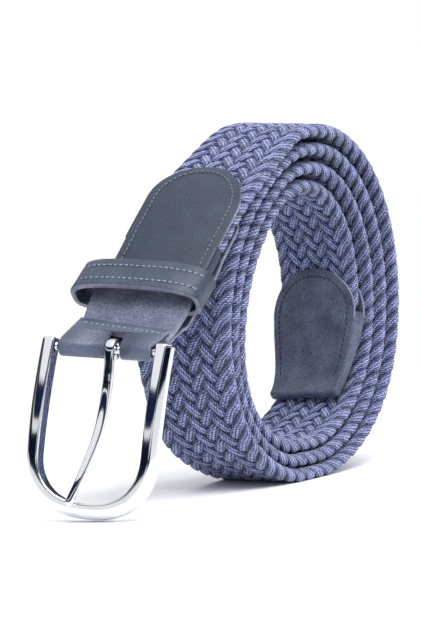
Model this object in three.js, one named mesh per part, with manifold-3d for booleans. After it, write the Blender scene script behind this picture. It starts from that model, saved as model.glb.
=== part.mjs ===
// Rolled-up elastic braided belt with a leather-mounted chrome buckle. Millimetres, +Z up, it stands on z = 0.
// The roll's axis runs along Y; the buckle hangs on the -X side; the rim nearest the viewer is at -Y.
import * as THREE from 'three';
import Module from 'manifold-3d';

// Driving sizes.
const STRAP_W = 35;          // width of the braid
const STRAP_T = 4.0;         // thickness of the braid
const LEATHER_W = 34.6;      // width of the leather at the buckle end
const TIP_W = 37.2;          // and on the free tip
const LEATHER_T = 1.3;       // one layer of leather
const GAP = 0.3;             // air between two pieces that lie on each other
const COIL_Z = 58.0;         // height of the roll's centre above the ground
const SET_BACK = 1.88;       // each turn lies this much further back than the one outside it
const TIP_TURN = 3.375;      // where the belt's free tip ends, in turns from the top of the outermost turn
const TIP_LENGTH = 51;       // length of the leather on the free tip
const TIP_ROUND = 18;        // its U-shaped ends begin this far down
const TIP_BRAID = 34;        // the braid stops this far before the end of the tip
const BRAID_START = 48;      // the braid starts this far from the buckle end of the centre line
const TAB_END = 85.6;        // the U-shaped end of the front strip
const TAB_ROUND = 21;        // the U begins this far before its end
const TAB_LEAN = 1.8;        // and leans this far toward the back rim
const BACK_END = 73.5;        // and of the one behind
const KEEPER_FROM = 21.5;
const KEEPER_TO = 33.5;
const FOLD_EDGE = 9.0;       // sewn edge of the leather that comes round the bar
const FRONT_END = 6.0;       // lower end of the front strip, under that edge

// The roll seen from the side: distance of the outer face from the centre, as harmonics of the bearing.
const OUTLINE = [
  { order: 0, cos: 61.85, sin: 0 },
  { order: 1, cos: 9.3, sin: 1.24 },
  { order: 2, cos: -1.08, sin: 3.93 },
  { order: 3, cos: -0.71, sin: -0.15 },
  { order: 4, cos: -0.52, sin: -0.60 },
];
// Step from one turn to the next one inside it, in the same form.
const PITCH = [
  { order: 0, cos: 6.2, sin: 0 },
  { order: 1, cos: -0.25, sin: 0.91 },
  { order: 2, cos: 0.32, sin: 0 },
];
// How far the back rim stands out beyond the front rim, by turn.
const FLARE = [
  { turn: 0.00, out: 3.4 },
  { turn: 0.25, out: 3.2 },
  { turn: 0.42, out: 0 },
  { turn: 0.555, out: 0 },
  { turn: 0.65, out: 4.4 },
  { turn: 0.75, out: 7.6 },
  { turn: 1.00, out: 3.6 },
  { turn: 1.25, out: 2.6 },
  { turn: 1.50, out: 0 },
  { turn: 1.75, out: 2.2 },
  { turn: 2.00, out: 1.8 },
  { turn: 2.28, out: 2.6 },
  { turn: 2.42, out: -0.4 },
  { turn: 2.52, out: -0.4 },
  { turn: 2.75, out: 1.0 },
  { turn: 3.00, out: 3.0 },
  { turn: 3.25, out: 2.4 },
  { turn: 3.50, out: 1.6 },
];
// The thicker, leather-covered tip stands clear of the turn outside it and closes up at its end.
const TIP_PATH = [
  { turn: 3.02, inward: 0 },
  { turn: 3.19, inward: 1.2 },
  { turn: 3.29, inward: 2.6 },
  { turn: 3.375, inward: 0.6 },
];
// The outer end leaves the roll and runs down to the buckle: middle of the braid, and the back rim's lead.
const OUTER_END = [
  { x: -88.6, z: 50.2, out: 6.6 },
  { x: -81.0, z: 57.3, out: 7.8 },
  { x: -71.6, z: 66.8, out: 7.6 },
  { x: -60.6, z: 76.7, out: 7.2 },
  { x: -49.9, z: 87.4, out: 7.8 },
  { x: -38.0, z: 98.1, out: 8.0 },
  { x: -21.4, z: 109.0, out: 6.0 },
];

// The buckle: frame's top front edge, foot, bar.
const TOP = new THREE.Vector3(-94.7, -4.5, 55.7);
const LEAN = 12.6;           // the frame leans out this many degrees from upright
const YAW = 14.4;            // is turned this much towards the viewer
const ROLL = 5.0;            // and its back leg hangs higher by this angle
const FRAME_L = 56.0;        // top of the legs to the outside of the foot
const FRAME_IN = 34.6;       // clear width between the legs
const FRAME_BOW = 2.4;       // the frame curves out by this much between its ends
const FRAME_DEEP = 5.6;
const BAR_R = 1.35;
const BAR_DOWN = 2.4;        // the bar's axis below the top of the legs
const BAR_IN = 4.2;          // and behind their front faces

const rad = Math.PI / 180;
const wave = (rows, a) => rows.reduce((r, w) => r + w.cos * Math.cos(w.order * a) + w.sin * Math.sin(w.order * a), 0);
const lerp = (a, b, t) => a + (b - a) * t;
const ease = (t) => t * t * (3 - 2 * t);
function along(rows, key, value, x) {
  if (x <= rows[0][key]) return rows[0][value];
  for (let i = 1; i < rows.length; i += 1) {
    const [a, b] = [rows[i - 1], rows[i]];
    if (x <= b[key]) return lerp(a[value], b[value], ease((x - a[key]) / (b[key] - a[key])));
  }
  return rows[rows.length - 1][value];
}

// The centre line of the whole belt.
function faceRadius(turn) {
  const a = Math.PI / 2 - turn * 2 * Math.PI;
  return wave(OUTLINE, a) - wave(PITCH, a) * turn;
}
// The outermost turn is pressed flat where it stands; the turns inside it give way by the same amount.
function pressed(turn) {
  const first = ((turn % 1) + 1) % 1;
  const a = Math.PI / 2 - first * 2 * Math.PI;
  const low = COIL_Z + faceRadius(first) * Math.sin(a);
  if (Math.sin(a) > -0.5) return 0;
  const over = 0.5 * (Math.sqrt(low * low + 0.02) - low);
  return Math.max(0, over - 0.002) / -Math.sin(a);
}
function coilPoint(turn) {
  const a = Math.PI / 2 - turn * 2 * Math.PI;
  const out = along(FLARE, 'turn', 'out', turn);
  const away = along(TIP_PATH, 'turn', 'inward', turn);
  const r = faceRadius(turn) - pressed(turn) - away - STRAP_T / 2 + out / 2;
  return { x: r * Math.cos(a), z: COIL_Z + r * Math.sin(a), out, y: SET_BACK * (turn - 1.5) };
}
const knots = OUTER_END.map((p, i) => ({ ...p, y: lerp(-4.7, -3.1, i / (OUTER_END.length - 1)) }));
for (let turn = 0; turn <= TIP_TURN + 0.0401; turn += 0.02) knots.push(coilPoint(turn));
const curve = new THREE.CatmullRomCurve3(knots.map((p) => new THREE.Vector3(p.x, p.y, p.z)), false, 'centripetal');
const FINE = 6000;
const fine = [];
for (let i = 0; i <= FINE; i += 1) {
  const u = i / FINE;
  const p = curve.getPoint(u);
  const k = u * (knots.length - 1);
  const j = Math.min(Math.floor(k), knots.length - 2);
  const out = lerp(knots[j].out, knots[j + 1].out, k - j);
  const s = i ? fine[i - 1].s + Math.hypot(p.x - fine[i - 1].x, p.z - fine[i - 1].z) : 0;
  fine.push({ s, x: p.x, y: p.y, z: p.z, out });
}
function at(s) {
  if (s <= 0) {
    const [a, b] = [fine[0], fine[20]];
    const t = s / (b.s - a.s);
    return { x: lerp(a.x, b.x, t), y: a.y, z: lerp(a.z, b.z, t), out: a.out };
  }
  let [lo, hi] = [0, FINE];
  while (hi - lo > 1) {
    const mid = (lo + hi) >> 1;
    if (fine[mid].s < s) lo = mid; else hi = mid;
  }
  const [a, b] = [fine[lo], fine[hi]];
  const t = (s - a.s) / (b.s - a.s);
  return { x: lerp(a.x, b.x, t), y: lerp(a.y, b.y, t), z: lerp(a.z, b.z, t), out: lerp(a.out, b.out, t) };
}
// Length along the line at which the tip ends.
const tipKnot = OUTER_END.length + TIP_TURN / 0.02;
const LENGTH = fine[Math.round((tipKnot / (knots.length - 1)) * FINE)].s;

// Middle, width direction (towards the back rim) and outward normal at a length along the line.
function frameAt(s) {
  const c = at(s);
  const [p, q] = [at(s - 0.6), at(s + 0.6)];
  const t = new THREE.Vector3(q.x - p.x, 0, q.z - p.z).normalize();
  const up = new THREE.Vector3(-t.z, 0, t.x);
  const tilt = Math.asin(c.out / STRAP_W);
  const wide = new THREE.Vector3(0, Math.cos(tilt), 0).addScaledVector(up, Math.sin(tilt));
  const normal = up.multiplyScalar(Math.cos(tilt)).add(new THREE.Vector3(0, -Math.sin(tilt), 0));
  return { mid: new THREE.Vector3(c.x, c.y, c.z), along: t, wide, normal };
}

// Solids from rings of points.
function fromRings(rings, closed = false) {
  const n = rings[0].length;
  const flat = rings.flat();
  const index = [];
  const quads = closed ? rings.length : rings.length - 1;
  for (let i = 0; i < quads; i += 1) {
    const a = i * n;
    const b = ((i + 1) % rings.length) * n;
    for (let j = 0; j < n; j += 1) {
      const k = (j + 1) % n;
      index.push(a + j, b + j, b + k, a + j, b + k, a + k);
    }
  }
  if (!closed) {
    const z = (rings.length - 1) * n;
    for (let j = 1; j < n - 1; j += 1) {
      index.push(0, j, j + 1);
      index.push(z, z + j + 1, z + j);
    }
  }
  const g = new THREE.BufferGeometry();
  g.setAttribute('position', new THREE.Float32BufferAttribute(flat.flatMap((p) => [p.x, p.y, p.z]), 3));
  g.setIndex(index);
  let volume = 0;
  const [a, b, c] = [new THREE.Vector3(), new THREE.Vector3(), new THREE.Vector3()];
  const p = g.attributes.position;
  for (let i = 0; i < index.length; i += 3) {
    a.fromBufferAttribute(p, index[i]);
    b.fromBufferAttribute(p, index[i + 1]);
    c.fromBufferAttribute(p, index[i + 2]);
    volume += a.dot(b.cross(c));
  }
  if (volume < 0) {
    for (let i = 0; i < index.length; i += 3) [index[i], index[i + 1]] = [index[i + 1], index[i]];
    g.setIndex(index);
  }
  return g;
}
// A flat section with rounded edges: half width w, from height low to high.
function section(w, low, high, round, steps = 2) {
  const r = Math.min(round, (high - low) / 2 - 0.01, w - 0.01);
  const out = [];
  const corners = [[w - r, high - r, 0], [-w + r, high - r, 90], [-w + r, low + r, 180], [w - r, low + r, 270]];
  for (const [cx, cy, from] of corners) {
    for (let i = 0; i <= steps; i += 1) {
      const a = (from + (90 * i) / steps) * rad;
      out.push([cx + r * Math.cos(a), cy + r * Math.sin(a)]);
    }
  }
  return out;
}
function ringAt(s, pts) {
  const f = frameAt(s);
  return pts.map(([v, h]) => f.mid.clone().addScaledVector(f.wide, v).addScaledVector(f.normal, h));
}

const wasm = await Module();
wasm.setup();
const { Manifold, Mesh: SolidMesh } = wasm;
function toSolid(g) {
  return new Manifold(new SolidMesh({
    numProp: 3,
    vertProperties: new Float32Array(g.attributes.position.array),
    triVerts: new Uint32Array(g.index.array),
  }));
}
function toGeometry(solid) {
  const m = solid.getMesh();
  const g = new THREE.BufferGeometry();
  const pos = [];
  for (let i = 0; i < m.numVert; i += 1) pos.push(...m.vertProperties.slice(i * m.numProp, i * m.numProp + 3));
  g.setAttribute('position', new THREE.Float32BufferAttribute(pos, 3));
  g.setIndex(Array.from(m.triVerts));
  return g;
}

const group = new THREE.Group();
group.name = 'elastic_belt';
function add(name, geometry, color, roughness, metalness) {
  geometry.computeVertexNormals();
  const mesh = new THREE.Mesh(geometry, new THREE.MeshStandardMaterial({ color, roughness, metalness }));
  mesh.name = name;
  group.add(mesh);
}
const BRAID = [0x7176a6, 0.92, 0];
const LEATHER = [0x4e5566, 0.55, 0];
const CHROME = [0xdfe2e8, 0.07, 1];

// Braided strap.
{
  const stop = LENGTH - TIP_BRAID;
  const rows = 216;
  const rings = [];
  for (let i = 0; i <= rows; i += 1) {
    const s = lerp(BRAID_START, stop, i / rows);
    const ring = ringAt(s, section(STRAP_W / 2, -STRAP_T / 2, STRAP_T / 2, 1.3, 1));
    for (const p of ring) if (p.z < 0.1) p.z = 0; // flat on the ground
    rings.push(ring);
  }
  add('braided_strap', fromRings(rings), ...BRAID);
}

// Leather at the buckle end.
// Half width of a strip with a U-shaped end, a distance d from that end.
function uHalf(d, w, depth, e = 2.2) {
  if (d >= depth) return w;
  const t = 1 - Math.max(d, 0) / depth;
  return w * Math.pow(1 - Math.pow(t, e), 1 / e);
}
const FRONT_OUT = STRAP_T / 2 + GAP + 0.1 + LEATHER_T;
{
  // The front strip: one layer over the braid, packed out to the braid's thickness below it.
  const layers = [
    { s: FRONT_END, low: FRONT_OUT - 1.9 },
    { s: FOLD_EDGE + 3, low: FRONT_OUT - 2.8 },
    { s: KEEPER_TO + 1.0, low: FRONT_OUT - 2.8 },
    { s: KEEPER_TO + 1.4, low: FRONT_OUT - 5.0 },
    { s: BRAID_START - 0.9, low: FRONT_OUT - 5.0 },
    { s: BRAID_START - 0.5, low: FRONT_OUT - LEATHER_T },
    { s: TAB_END, low: FRONT_OUT - LEATHER_T },
  ];
  const narrow = [
    { s: FRONT_END, half: 15.9 },
    { s: KEEPER_FROM, half: 17.4 },
    { s: KEEPER_TO + 4, half: LEATHER_W / 2 },
    { s: TAB_END, half: LEATHER_W / 2 },
  ];
  const stations = [];
  for (let s = FRONT_END; s < TAB_END - TAB_ROUND; s += 1.5) stations.push(s);
  for (const row of layers.slice(1, -1)) stations.push(row.s);
  for (let i = 0; i <= 14; i += 1) stations.push(TAB_END - TAB_ROUND * Math.pow(1 - i / 14, 1.8) - (i === 14 ? 0.02 : 0));
  stations.sort((a, b) => a - b);
  const rings = stations.map((s) => {
    const half = Math.min(along(narrow, 's', 'half', s), uHalf(TAB_END - s, LEATHER_W / 2, TAB_ROUND, 2));
    let low = layers[0].low;
    for (let i = 1; i < layers.length; i += 1) {
      const [a, b] = [layers[i - 1], layers[i]];
      if (s >= a.s) low = lerp(a.low, b.low, Math.min(1, (s - a.s) / (b.s - a.s)));
    }
    const lean = TAB_LEAN * ease(Math.max(0, (s - 60) / (TAB_END - 60)));
    return ringAt(s, section(Math.max(half, 0.8), low, FRONT_OUT, 0.35, 1).map(([v, h]) => [v + lean, h]));
  });
  add('tab_front', fromRings(rings), ...LEATHER);
}

// Buckle axes.
const across = new THREE.Vector3(-Math.sin(YAW * rad), Math.cos(YAW * rad), Math.tan(ROLL * rad)).normalize();
const level = new THREE.Vector3(-Math.cos(YAW * rad), -Math.sin(YAW * rad), 0);
const down = level.clone().multiplyScalar(Math.sin(LEAN * rad)).add(new THREE.Vector3(0, 0, -Math.cos(LEAN * rad)));
down.addScaledVector(across, -down.dot(across)).normalize();
const front = across.clone().cross(down);
const BAR = TOP.clone().addScaledVector(down, BAR_DOWN).addScaledVector(front, -BAR_IN);
const onFrame = (u, v, w) => TOP.clone().addScaledVector(across, u).addScaledVector(down, v).addScaledVector(front, w);
const bow = (v) => {
  const t = Math.min(Math.max(v / FRAME_L, 0), 1);
  return 4 * FRAME_BOW * t * (1 - t);
};

// Back strip with the fold round the bar.
{
  // Its middle: behind the braid, past the keeper, round the bar and up to the sewn edge in front.
  const behind = [
    { s: 14, h: -1.5 },
    { s: KEEPER_FROM - 3, h: -3.7 },
    { s: KEEPER_TO, h: -4.0 },
    { s: 41, h: -3.8 },
    { s: BRAID_START, h: -3.12 },
    { s: BACK_END, h: -3.04 },
  ];
  const path = [];
  for (let s = BACK_END; s >= 13.9; s -= s > BACK_END - 14 ? 1.0 : 2.0) {
    const f = frameAt(s);
    const p = f.mid.clone().addScaledVector(f.normal, along(behind, 's', 'h', s));
    path.push({ p, wide: f.wide, half: uHalf(BACK_END - s, LEATHER_W / 2, 15) });
  }
  for (const q of path) q.half = Math.max(q.half, 0.8);
  const mid = BAR_R + GAP + 0.08 + LEATHER_T / 2;
  const start = path[path.length - 1];
  const toBar = (p) => {
    const d = p.clone().sub(BAR);
    return new THREE.Vector2(d.dot(front), -d.dot(down));
  };
  const edge = frameAt(FOLD_EDGE);
  const edgeMid = edge.mid.clone().addScaledVector(edge.normal, FRONT_OUT + GAP + LEATHER_T / 2);
  const entry = toBar(start.p);
  const exit = toBar(edgeMid);
  // Tangent points on the circle round the bar, seen from the two straight runs.
  const a0 = Math.atan2(entry.y, entry.x) + Math.acos(mid / entry.length());
  const a1 = Math.atan2(exit.y, exit.x) - Math.acos(mid / exit.length()) + 2 * Math.PI;
  const barAt = (a) => BAR.clone().addScaledVector(across, 0.6).addScaledVector(front, mid * Math.cos(a)).addScaledVector(down, -mid * Math.sin(a));
  const first = barAt(a0);
  const last = barAt(a1);
  for (const q of path) {
    const s = q.p.x;
    q.half = Math.min(q.half, lerp(LEATHER_W / 2, 16.2, ease(Math.min(1, Math.max(0, (-62 - s) / 16)))));
  }
  for (const t of [0.2, 0.4, 0.6, 0.8]) {
    path.push({ p: start.p.clone().lerp(first, t), wide: start.wide.clone().lerp(across, t).normalize(), half: 16 });
  }
  for (let i = 0; i <= 16; i += 1) path.push({ p: barAt(lerp(a0, a1, i / 16)), wide: across, half: 15.6 });
  for (const t of [0.25, 0.5, 0.75, 0.9, 1]) {
    path.push({ p: last.clone().lerp(edgeMid, t), wide: across.clone().lerp(edge.wide, t).normalize(), half: 16 });
  }
  const rings = path.map((q, i) => {
    const a = path[Math.max(i - 1, 0)].p;
    const b = path[Math.min(i + 1, path.length - 1)].p;
    const t = b.clone().sub(a).normalize();
    const normal = t.clone().cross(q.wide).normalize();
    return section(q.half, -LEATHER_T / 2, LEATHER_T / 2, 0.35, 1)
      .map(([v, h]) => q.p.clone().addScaledVector(q.wide, v).addScaledVector(normal, h));
  });
  // The slot lets the prong through, in front of the bar and behind it.
  const slot = new THREE.CylinderGeometry(5.9, 5.9, 5.4, 32).toNonIndexed();
  slot.deleteAttribute('normal');
  slot.deleteAttribute('uv');
  const turnTo = new THREE.Matrix4().makeBasis(down, across, down.clone().cross(across));
  slot.applyMatrix4(turnTo);
  const at0 = BAR.clone().addScaledVector(across, -2.3);
  slot.translate(at0.x, at0.y, at0.z);
  const merged = weld(slot);
  add('tab_back', toGeometry(toSolid(fromRings(rings)).subtract(toSolid(merged))), ...LEATHER);
}
function weld(g) {
  const p = g.attributes.position;
  const seen = new Map();
  const pos = [];
  const index = [];
  for (let i = 0; i < p.count; i += 1) {
    const key = [p.getX(i), p.getY(i), p.getZ(i)].map((c) => Math.round(c * 1e4)).join();
    if (!seen.has(key)) {
      seen.set(key, pos.length / 3);
      pos.push(p.getX(i), p.getY(i), p.getZ(i));
    }
    index.push(seen.get(key));
  }
  const kept = [];
  for (let i = 0; i < index.length; i += 3) {
    const [a, b, c] = index.slice(i, i + 3);
    if (a !== b && b !== c && c !== a) kept.push(a, b, c);
  }
  const out = new THREE.BufferGeometry();
  out.setAttribute('position', new THREE.Float32BufferAttribute(pos, 3));
  out.setIndex(kept);
  return out;
}

// Keeper.
{
  const THICK = 2.0;
  const KEEPER_SKEW = 0.09; // it has slipped a little askew, back end lower
  const low = FRONT_OUT - 2.8 - 1.35;
  const high = FRONT_OUT + 4.9;
  const half = 20.8;
  const mid = (KEEPER_FROM + KEEPER_TO) / 2;
  const f = frameAt(mid);
  f.mid.addScaledVector(f.wide, 1.2);
  const outline = [];
  const n = 44;
  for (let i = 0; i < n; i += 1) {
    const a = (i / n) * 2 * Math.PI;
    const e = Math.sin(a) > 0 ? 2 / 2.7 : 2 / 5;
    const c = Math.sign(Math.cos(a)) * Math.pow(Math.abs(Math.cos(a)), e);
    const s = Math.sign(Math.sin(a)) * Math.pow(Math.abs(Math.sin(a)), e);
    outline.push(new THREE.Vector2(c * half, (low + high) / 2 + s * (high - low) / 2));
  }
  const rings = outline.map((q, i) => {
    const a = outline[(i + n - 1) % n];
    const b = outline[(i + 1) % n];
    const t = b.clone().sub(a).normalize();
    const out = new THREE.Vector2(t.y, -t.x);
    const w = (KEEPER_TO - KEEPER_FROM) / 2;
    const c = 0.4;
    const cut = [[-w, c], [-w + c, 0], [w - c, 0], [w, c], [w, THICK - c], [w - c, THICK], [-w + c, THICK], [-w, THICK - c]];
    return cut.map(([x, d]) => f.mid.clone()
      .addScaledVector(f.along, x - KEEPER_SKEW * (q.x + 19))
      .addScaledVector(f.wide, q.x + out.x * d)
      .addScaledVector(f.normal, q.y + out.y * d));
  });
  add('keeper', fromRings(rings, true), ...LEATHER);
}

// Leather on the free tip.
{
  const outer = STRAP_T / 2 + GAP + 0.1 + LEATHER_T;
  const from = LENGTH - TIP_LENGTH;
  const solidFrom = LENGTH - TIP_BRAID + 0.5;
  const halfAt = (s) => Math.min(
    uHalf(s - from, TIP_W / 2, TIP_ROUND, 2),
    lerp(TIP_W / 2, 15.0, ease(Math.min(1, Math.max(0, (s - from - 18) / 32)))),
  );
  const half = (s) => Math.max(0.8, halfAt(s));
  const thin = (s) => lerp(outer, 1.8, ease(Math.min(1, Math.max(0, (s - solidFrom) / (LENGTH - solidFrom)))));
  const stations = [];
  for (let i = 0; i <= 11; i += 1) stations.push(from + 0.02 + (solidFrom - from - 1) * Math.pow(i / 11, 1.8));
  stations.push(solidFrom, solidFrom + 2);
  const sheet = (side) => {
    const rings = stations.map((s) => {
      const [a, b] = [thin(s) - LEATHER_T, thin(s)];
      const [lo, hi] = side > 0 ? [a, b] : [-b, -a];
      return ringAt(s, section(half(s), lo, hi, 0.35, 1));
    });
    return toSolid(fromRings(rings));
  };
  const block = [solidFrom];
  for (let s = solidFrom + 2; s < LENGTH - 2; s += 2.6) block.push(s);
  const rings = block.map((s) => ringAt(s, section(half(s), -thin(s), thin(s), 0.35, 1)));
  for (const [back, k] of [[1.2, 0.99], [0.6, 0.9], [0.2, 0.72], [0, 0.4]]) {
    const s = LENGTH - back;
    rings.push(ringAt(s, section(half(s) - (1 - k) * 1.6, -thin(s) * k, thin(s) * k, 0.35, 1)));
  }
  const solid = toSolid(fromRings(rings)).add(sheet(1)).add(sheet(-1));
  add('tip_cover', toGeometry(solid), ...LEATHER);
}

// Buckle frame.
{
  // Section of the frame: a across (0 at the opening, outward), b from the back to the front face.
  const PROFILE = [
    { a: 0.00, b: -5.2 },
    { a: 0.00, b: -0.5 },
    { a: 0.45, b: 0.00 },
    { a: 2.70, b: 0.00 },
    { a: 3.30, b: -0.25 },
    { a: 4.80, b: -2.1 },
    { a: 4.80, b: -4.9 },
    { a: 4.20, b: -FRAME_DEEP },
    { a: 0.40, b: -FRAME_DEEP },
  ];
  const WIDE = PROFILE[5].a;
  const half = FRAME_IN / 2;
  const corner = 15.6;
  const path = [];
  const straight = FRAME_L - WIDE - corner;
  for (let i = 0; i <= 8; i += 1) path.push({ u: half, v: (straight * i) / 8, nu: 1, nv: 0 });
  const arc = 18;
  for (let i = 1; i < 2 * arc; i += 1) {
    const a = (i / (2 * arc)) * Math.PI;
    const e = 2 / 2.4;
    const c = Math.sign(Math.cos(a)) * Math.pow(Math.abs(Math.cos(a)), e);
    const s = Math.pow(Math.sin(a), e);
    const nu = Math.sign(c) * Math.pow(Math.abs(c), 1.4) / half;
    const nv = Math.pow(s, 1.4) / corner;
    const l = Math.hypot(nu, nv);
    path.push({ u: c * half, v: straight + s * corner, nu: nu / l, nv: nv / l });
  }
  for (let i = 8; i >= 0; i -= 1) path.push({ u: -half, v: (straight * i) / 8, nu: -1, nv: 0 });
  const rings = path.map((q) => PROFILE.map(({ a, b }) => {
    const v = q.v + q.nv * a;
    return onFrame(q.u + q.nu * a, v, b + bow(v));
  }));
  const bar = new THREE.CylinderGeometry(BAR_R, BAR_R, FRAME_IN + 4, 20).toNonIndexed();
  bar.deleteAttribute('normal');
  bar.deleteAttribute('uv');
  bar.applyMatrix4(new THREE.Matrix4().makeBasis(down, across, down.clone().cross(across)));
  bar.translate(BAR.x, BAR.y, BAR.z);
  add('buckle_frame', toGeometry(toSolid(fromRings(rings)).add(toSolid(weld(bar)))), ...CHROME);
}

// Prong.
{
  // The middle of the prong seen from the side, from its eye round the bar to its point on the foot.
  const EYE = BAR_R + 0.3;
  const rows = [];
  const eyeMid = EYE + 0.95;
  for (let i = 0; i <= 12; i += 1) {
    const a = lerp(104, 356, i / 12) * rad;
    rows.push({ v: BAR_DOWN + eyeMid * Math.sin(a), w: -BAR_IN + eyeMid * Math.cos(a), u: -1.5, wide: 1.6, thick: 0.95 });
  }
  const SHANK = [
    { v: 9.3, w: -2.2, u: -1.8, wide: 1.6, thick: 1.0 },
    { v: 14.0, w: -2.7, u: -1.7, wide: 1.6, thick: 1.1 },
    { v: 18.8, w: -2.7, u: -1.5, wide: 1.55, thick: 1.1 },
    { v: 25.1, w: -2.1, u: -1.25, wide: 1.5, thick: 1.05 },
    { v: 31.5, w: -0.9, u: -0.7, wide: 1.4, thick: 1.0 },
    { v: 38.0, w: 0.5, u: 0.5, wide: 1.3, thick: 1.0 },
    { v: 44.3, w: 1.7, u: 2.0, wide: 1.2, thick: 0.95 },
    { v: 52.6, w: 2.1, u: 4.8, wide: 1.1, thick: 0.9 },
  ];
  rows.push(...SHANK);
  const line = new THREE.CatmullRomCurve3(rows.map((r) => new THREE.Vector3(r.u, r.v, r.w)), false, 'centripetal');
  const steps = [];
  for (let i = 0; i <= 46; i += 1) steps.push([(0.988 * i) / 46, 1]);
  steps.push([0.992, 0.97], [0.995, 0.88], [0.9975, 0.7], [0.9993, 0.4]);
  const rings = [];
  for (const [u, scale] of steps) {
    const k = u * (rows.length - 1);
    const j = Math.min(Math.floor(k), rows.length - 2);
    const wide = lerp(rows[j].wide, rows[j + 1].wide, k - j);
    const thick = lerp(rows[j].thick, rows[j + 1].thick, k - j);
    const p = line.getPoint(u);
    const t = line.getTangent(u);
    const side = new THREE.Vector3(1, 0, 0).addScaledVector(t, -t.x).normalize();
    const up = side.clone().cross(t).normalize();
    const ring = [];
    for (let m = 0; m < 10; m += 1) {
      const a = (m / 10) * 2 * Math.PI;
      const c = Math.sign(Math.cos(a)) * Math.pow(Math.abs(Math.cos(a)), 0.75) * wide * scale;
      const h = Math.sign(Math.sin(a)) * Math.pow(Math.abs(Math.sin(a)), 0.75) * thick * scale;
      const q = p.clone().addScaledVector(side, c).addScaledVector(up, h);
      ring.push(onFrame(q.x, q.y, q.z));
    }
    rings.push(ring);
  }
  add('buckle_prong', fromRings(rings), ...CHROME);
}

export default group;
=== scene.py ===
# A rolled-up elastic belt: braided strap, leather ends, leather keeper and a chrome buckle, on a pale table.
import math

import bmesh
import bpy
import numpy as np
from mathutils import Matrix


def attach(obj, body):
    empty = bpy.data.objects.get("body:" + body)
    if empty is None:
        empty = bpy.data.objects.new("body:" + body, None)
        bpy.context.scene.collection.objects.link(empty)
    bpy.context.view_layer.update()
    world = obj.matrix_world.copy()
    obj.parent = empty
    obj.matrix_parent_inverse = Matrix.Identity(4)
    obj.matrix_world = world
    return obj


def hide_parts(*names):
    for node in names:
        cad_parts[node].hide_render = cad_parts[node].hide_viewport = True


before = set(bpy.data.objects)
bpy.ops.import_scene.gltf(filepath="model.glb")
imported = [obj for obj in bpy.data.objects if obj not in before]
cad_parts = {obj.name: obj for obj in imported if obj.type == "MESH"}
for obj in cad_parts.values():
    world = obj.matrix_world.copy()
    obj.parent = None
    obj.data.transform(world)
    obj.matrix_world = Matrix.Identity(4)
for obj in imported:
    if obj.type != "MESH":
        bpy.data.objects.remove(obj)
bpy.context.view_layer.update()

# The braided strap.
# Fifteen strands of polyester yarn over rubber, plaited flat two over, two under.
# The whole band is rolled up; it runs from under the buckle's leather to inside the leather of the free tip.
MM = 0.001
STRAP_W = 35.0               # width of the braid
STRAP_T = 4.0                # its thickness
COIL_Z = 58.0                # height of the roll's centre
SET_BACK = 1.88              # each turn lies this much further back than the one outside it
MID_TURN = 1.5               # the turn at which the centre line crosses y = 0
TIP_TURN = 3.375             # turns from the top of the roll to the free tip
TIP_BRAID = 34.0             # the braid stops this far before the end of the tip
BRAID_START = 48.0           # and starts this far from the buckle end of the centre line
# The roll from the side: the outer face's distance from the centre as harmonics (order, cos, sin).
OUTLINE = ((0, 61.85, 0.0), (1, 9.3, 1.24), (2, -1.08, 3.93), (3, -0.71, -0.15), (4, -0.52, -0.60))
# How much nearer the centre each turn lies than the one outside it, as harmonics too.
PITCH = ((0, 6.2, 0.0), (1, -0.25, 0.91), (2, 0.32, 0.0))
# How far the back rim stands out beyond the front rim: (turn, mm).
FLARE = ((0.00, 3.4), (0.25, 3.2), (0.42, 0.0), (0.555, 0.0), (0.65, 4.4), (0.75, 7.6), (1.00, 3.6),
         (1.25, 2.6), (1.50, 0.0), (1.75, 2.2), (2.00, 1.8), (2.28, 2.6), (2.42, -0.4), (2.52, -0.4),
         (2.75, 1.0), (3.00, 3.0), (3.25, 2.4), (3.50, 1.6))
# The leather-covered tip stands clear of the turn outside it: (turn, mm inward).
TIP_PATH = ((3.02, 0.0), (3.19, 1.2), (3.29, 2.6), (3.375, 0.6))
# The outer end leaves the roll and runs down to the buckle: (x, z, lead of the back rim).
OUTER_END = ((-88.6, 50.2, 6.6), (-81.0, 57.3, 7.8), (-71.6, 66.8, 7.6), (-60.6, 76.7, 7.2),
             (-49.9, 87.4, 7.8), (-38.0, 98.1, 8.0), (-21.4, 109.0, 6.0))
OUTER_Y = (-4.7, -3.1)       # its y at the buckle and where it meets the roll
FLAT_BLEND = 0.02            # how softly the roll goes over into its flat foot, in mm squared
FLAT_SLACK = 0.002           # mm that this softening leaves over


def ease(t):
    t = min(1.0, max(0.0, t))
    return t * t * (3 - 2 * t)


def lerp(a, b, t):
    return a + (b - a) * t


def along(rows, x):
    """Eased value at x in a table of (x, value) rows."""
    if x <= rows[0][0]:
        return rows[0][1]
    for (x0, v0), (x1, v1) in zip(rows, rows[1:]):
        if x <= x1:
            return lerp(v0, v1, ease((x - x0) / (x1 - x0)))
    return rows[-1][1]


def wave(rows, a):
    return sum(c * math.cos(k * a) + s * math.sin(k * a) for k, c, s in rows)


def face_radius(turn):
    a = math.pi / 2 - turn * 2 * math.pi
    return wave(OUTLINE, a) - wave(PITCH, a) * turn


def pressed(turn):
    """The outermost turn is flat where it stands, and the turns inside it give way by the same amount."""
    first = turn % 1
    a = math.pi / 2 - first * 2 * math.pi
    if math.sin(a) > -0.5:
        return 0.0
    low = COIL_Z + face_radius(first) * math.sin(a)
    over = 0.5 * (math.sqrt(low * low + FLAT_BLEND) - low)
    return max(0.0, over - FLAT_SLACK) / -math.sin(a)


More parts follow.
